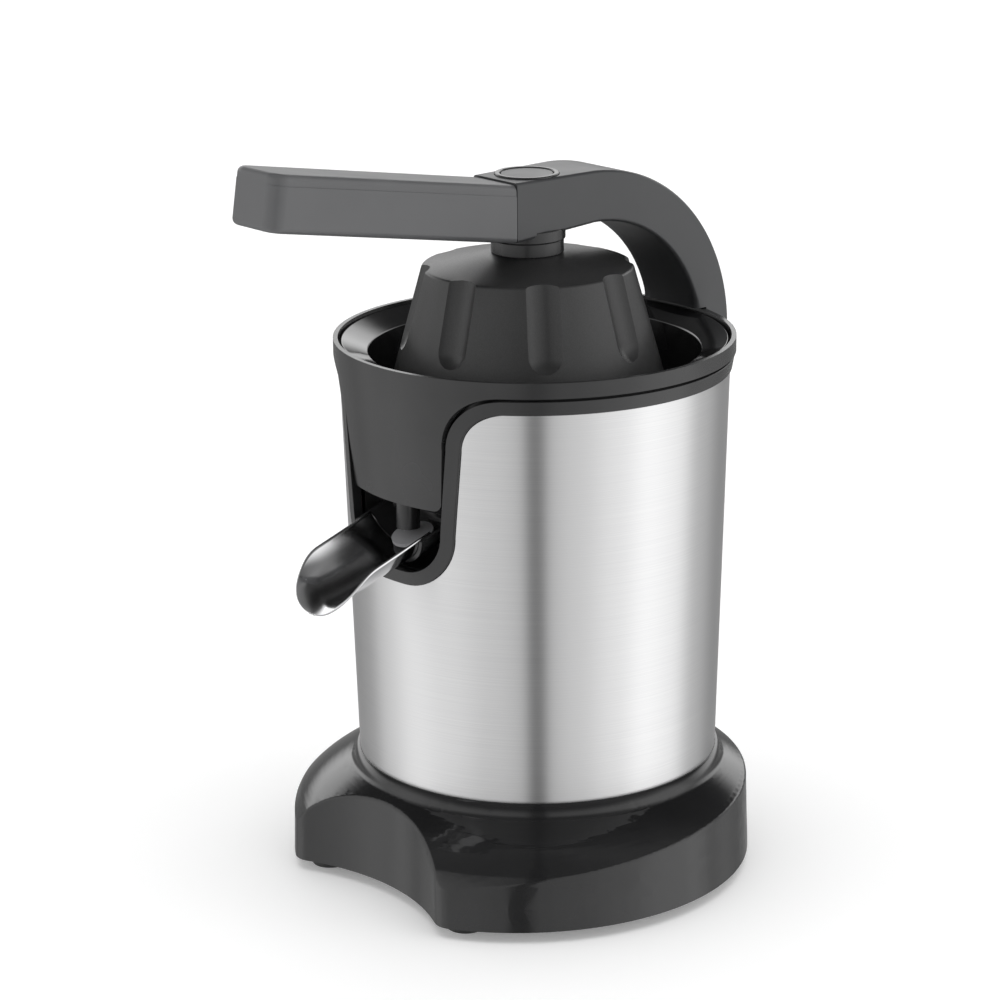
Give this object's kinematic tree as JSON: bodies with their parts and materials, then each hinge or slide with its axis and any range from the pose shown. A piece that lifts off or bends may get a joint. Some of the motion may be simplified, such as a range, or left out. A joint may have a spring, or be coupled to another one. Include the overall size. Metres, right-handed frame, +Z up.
{
  "type": "citrus press juicer",
  "caption": "Electric citrus press: hinged lever arm with a fluted press dome over a driven reamer, strainer bowl in a steel housing, tilting steel spout, scalloped base.",
  "frame": {"origin": "on the floor, under the middle of the object's box", "axes": "+Z up, the spout and the handle towards -Y, the hinge at +Y"},
  "size_m": [0.1988, 0.2458, 0.3211],
  "materials": {
    "brushed_steel": "brushed",
    "polished_steel": "polished",
    "black_gloss": "gloss",
    "black_satin": "satin",
    "grey_satin": "satin",
    "dome_texture": "fine moulded texture",
    "stopper_grey": "satin",
    "rubber_black": "matte",
    "plated_steel": "plated",
    "bearing_bronze": "turned",
    "laminated_iron": "stamped",
    "copper_wire": "enamelled",
    "white_nylon": "moulded",
    "grey_plastic": "moulded"
  },
  "bodies": {
    "housing": {"base_shell": "black_gloss", "base_plate": "black_satin", "base_screws": "plated_steel", "rubber_feet": "rubber_black", "cord_gland": "black_satin", "terminal_block": "grey_plastic", "steel_sleeve": "brushed_steel", "housing_collar": "black_gloss", "inner_housing": "black_satin", "spout_well": "black_satin", "juice_bowl": "black_gloss", "strainer": "black_gloss", "spindle_bush": "bearing_bronze", "start_spring": "plated_steel", "micro_switch": "grey_plastic", "gearbox_case": "grey_plastic", "gearbox_bridge": "grey_plastic", "gearbox_cover": "grey_plastic", "gearbox_screws": "plated_steel", "axle_pin": "plated_steel", "motor_can": "plated_steel", "motor_end_shield": "plated_steel", "motor_bearings": "bearing_bronze", "motor_screws": "plated_steel", "stator_core": "laminated_iron", "field_coils": "copper_wire", "brush_holders": "grey_plastic", "hinge_bracket": "plated_steel", "bracket_screws": "plated_steel", "hinge_pin": "plated_steel"},
    "lever": {"lever_arm": "grey_satin", "hinge_bushes": "bearing_bronze", "handle_body": "grey_satin", "handle_cover": "grey_satin", "handle_screws": "plated_steel", "button_ring": "black_satin", "button_spring": "plated_steel", "press_stem": "grey_satin", "stem_collar": "grey_satin", "press_dome": "dome_texture"},
    "button": {"release_button": "grey_satin"},
    "spout_tray": {"spout": "polished_steel", "spout_holder": "black_satin", "spout_pins": "plated_steel", "stopper_pad": "stopper_grey"},
    "output_wheel": {"output_gear": "white_nylon"},
    "reamer_spindle": {"drive_spindle": "plated_steel", "reamer": "black_satin"},
    "middle_wheel": {"compound_gear": "white_nylon"},
    "rotor": {"motor_shaft": "plated_steel", "armature_core": "laminated_iron", "armature_winding": "copper_wire", "commutator": "bearing_bronze", "cooling_fan": "white_nylon", "motor_pinion": "bearing_bronze"},
    "plunger": {"switch_plunger": "white_nylon"}
  },
  "joints": [
    {"name": "arm_hinge", "type": "hinge", "parent": "housing", "child": "lever", "pos_m": [0, 0.1162, 0.212], "axis": [-1, 0, 0], "range_deg": [0, 85]},
    {"name": "button_press", "type": "slide", "parent": "lever", "child": "button", "axis": [0, 0, -1], "range_m": [0, 0.0025], "stiffness_N_per_m": 600, "springref_m": -0.002, "deforming": ["button_spring"]},
    {"name": "spout_tilt", "type": "hinge", "parent": "housing", "child": "spout_tray", "pos_m": [0, -0.0373, 0.166], "axis": [-1, 0, 0], "range_deg": [0, 18.5]},
    {"name": "rotor_spin", "type": "hinge", "parent": "housing", "child": "rotor", "pos_m": [0, 0.0237, 0.08], "axis": [0, 0, 1], "continuous": true},
    {"name": "middle_spin", "type": "hinge", "parent": "housing", "child": "middle_wheel", "pos_m": [0, 0.0597, 0.13], "axis": [0, 0, 1], "continuous": true},
    {"name": "output_spin", "type": "hinge", "parent": "housing", "child": "output_wheel", "pos_m": [0, 0.0237, 0.14], "axis": [0, 0, 1], "continuous": true},
    {"name": "spindle_press", "type": "slide", "parent": "output_wheel", "child": "reamer_spindle", "axis": [0, 0, -1], "range_m": [0, 0.0025], "stiffness_N_per_m": 2000, "springref_m": -0.003, "deforming": ["start_spring"]},
    {"name": "plunger_press", "type": "slide", "parent": "housing", "child": "plunger", "axis": [0, 0, -1], "range_m": [0, 0.0025]}
  ],
  "couplings": [
    {"joint": "middle_spin", "follows": "rotor_spin", "ratio": -0.2},
    {"joint": "output_spin", "follows": "rotor_spin", "ratio": 0.04},
    {"joint": "plunger_press", "follows": "spindle_press", "ratio": 1}
  ]
}
